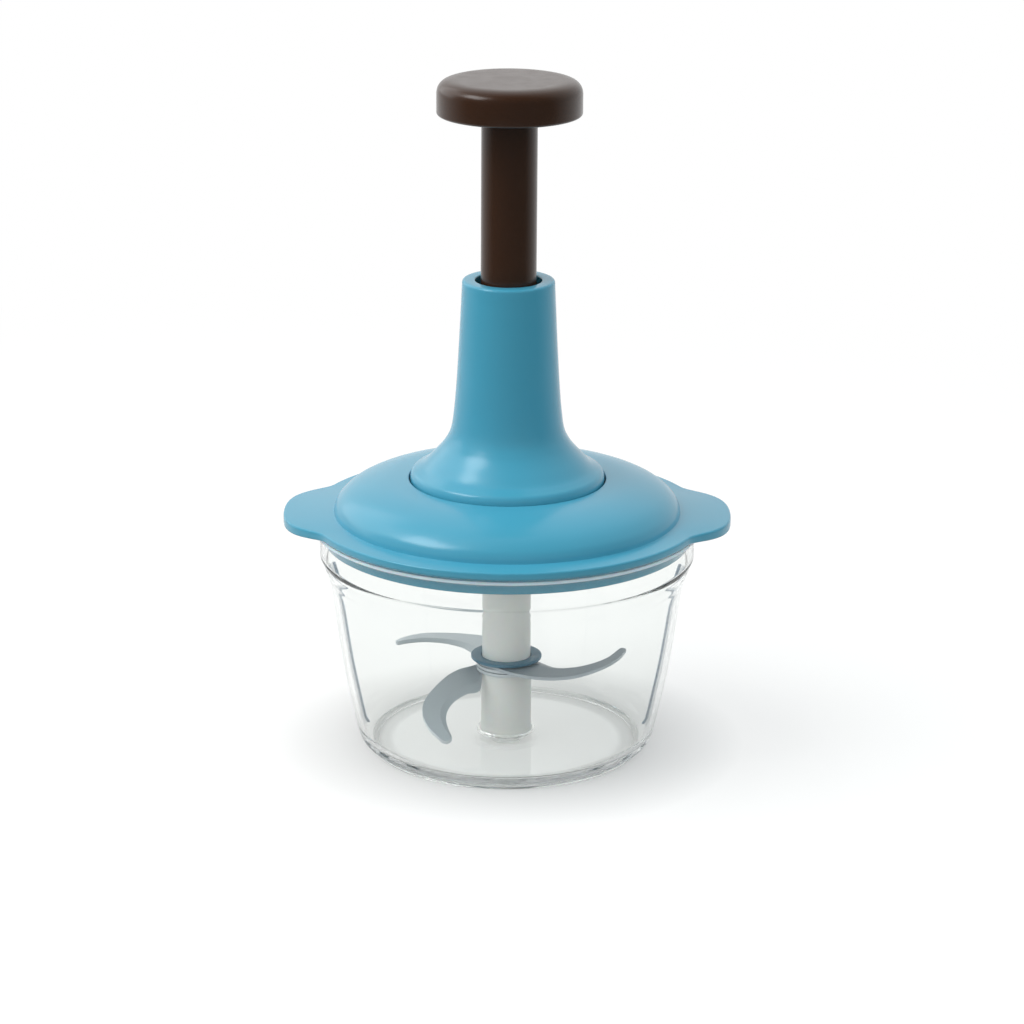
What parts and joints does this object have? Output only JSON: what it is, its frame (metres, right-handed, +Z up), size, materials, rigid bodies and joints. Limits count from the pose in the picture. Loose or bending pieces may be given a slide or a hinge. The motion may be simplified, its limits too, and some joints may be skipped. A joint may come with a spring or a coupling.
{
  "type": "plunger food chopper",
  "caption": "Hand-push food chopper: clear drawn-in bowl, lid with two ears and a tall tower, and a push knob on a tube that spins three sickle blades through a twisted rod.",
  "frame": {"origin": "centre of the bowl's foot ring, on the surface that the bowl stands on", "axes": "+Z up along the plunger, +X towards one of the lid's ears, -Y towards the viewer of the picture"},
  "size_m": [0.1662, 0.1468, 0.2532],
  "materials": {
    "bowl_clear": "clear, polished, moulded",
    "lid_blue": "glossy moulded",
    "knob_brown": "semi-gloss moulded",
    "shaft_grey": "satin, slightly translucent",
    "collar_blue_grey": "satin",
    "bearing_plastic": "natural acetal",
    "plate_white": "satin moulded",
    "gasket_rubber": "soft silicone",
    "blade_steel": "stamped, ground edge",
    "steel_bright": "bright"
  },
  "bodies": {
    "bowl": {"bowl": "bowl_clear", "pivot_pin": "steel_bright"},
    "blades": {"blade_shaft": "shaft_grey", "shaft_sleeve": "shaft_grey", "pivot_bush": "bearing_plastic", "blade_collar": "collar_blue_grey", "blade_middle": "blade_steel", "blade_high": "blade_steel", "blade_low": "blade_steel"},
    "lid": {"lid_shell": "lid_blue", "lid_gasket": "gasket_rubber", "lid_inner_plate": "plate_white", "tower": "lid_blue", "guide_bush": "knob_brown", "bearing_bush": "bearing_plastic", "thrust_washer": "steel_bright", "spring_seat": "bearing_plastic", "return_spring": "steel_bright", "tower_screw_1": "steel_bright", "tower_screw_2": "steel_bright", "tower_screw_3": "steel_bright", "plate_screw_1": "steel_bright", "plate_screw_2": "steel_bright", "plate_screw_3": "steel_bright", "plate_screw_4": "steel_bright"},
    "plunger": {"plunger_knob": "knob_brown", "plunger_tube": "knob_brown", "drive_nut": "bearing_plastic", "nut_retainer": "steel_bright", "knob_screw": "steel_bright"},
    "spindle": {"helix_rod": "steel_bright", "drive_dog": "steel_bright", "spindle_clip": "steel_bright"}
  },
  "joints": [
    {"name": "lid_lift", "type": "slide", "parent": "bowl", "child": "lid", "axis": [0, 0, 1], "range_m": [0, 0.12]},
    {"name": "plunger_press", "type": "slide", "parent": "lid", "child": "plunger", "axis": [0, 0, -1], "range_m": [0, 0.055], "stiffness_N_per_m": 250, "springref_m": -0.02, "deforming": ["return_spring"]},
    {"name": "spindle_spin", "type": "hinge", "parent": "lid", "child": "spindle", "pos_m": [0, 0, 0.09], "axis": [0, 0, 1], "range_deg": [0, 522]},
    {"name": "blade_spin", "type": "hinge", "parent": "bowl", "child": "blades", "pos_m": [0, 0, 0.02], "axis": [0, 0, 1], "range_deg": [0, 522]}
  ],
  "couplings": [
    {"joint": "spindle_spin", "follows": "plunger_press", "rad_per_m": 165.35},
    {"joint": "blade_spin", "follows": "plunger_press", "rad_per_m": 165.35}
  ]
}
